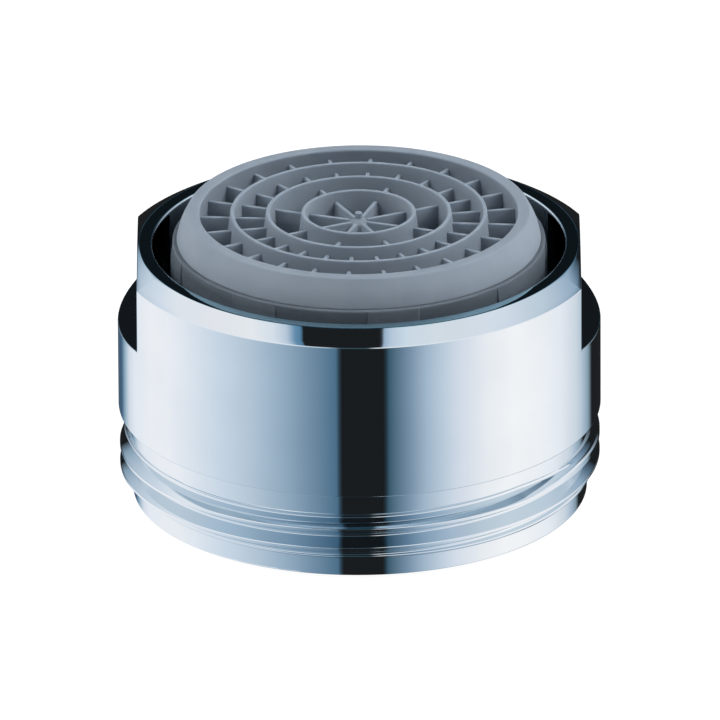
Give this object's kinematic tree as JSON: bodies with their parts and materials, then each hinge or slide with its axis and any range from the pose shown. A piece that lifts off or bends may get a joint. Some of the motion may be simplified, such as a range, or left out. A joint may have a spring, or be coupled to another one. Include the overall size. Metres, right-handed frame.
{
  "type": "tap aerator",
  "caption": "Round chromed aerator with a male thread, spanner flats and a grey outlet grid of rings and ribs, which mixes air into a tap's water jet.",
  "frame": {"origin": "centre of the sealing washer's face, which is the lowest plane of the part", "axes": "+Z along the axis from the thread end to the outlet, +X square to a spanner flat"},
  "size_m": [0.024, 0.024, 0.015],
  "materials": {
    "chrome": "polished chrome plate on brass",
    "grey_plastic": "moulded, satin",
    "white_plastic": "moulded, natural",
    "black_rubber": "moulded, matt"
  },
  "bodies": {
    "root": {"threaded_housing": "chrome", "sealing_washer": "black_rubber", "insert_casing": "grey_plastic", "outlet_grid": "grey_plastic", "homogenizer_upper": "grey_plastic", "homogenizer_lower": "grey_plastic", "jet_splitter": "white_plastic", "regulator_body": "white_plastic", "regulator_o_ring": "black_rubber", "strainer": "white_plastic"}
  },
  "joints": []
}
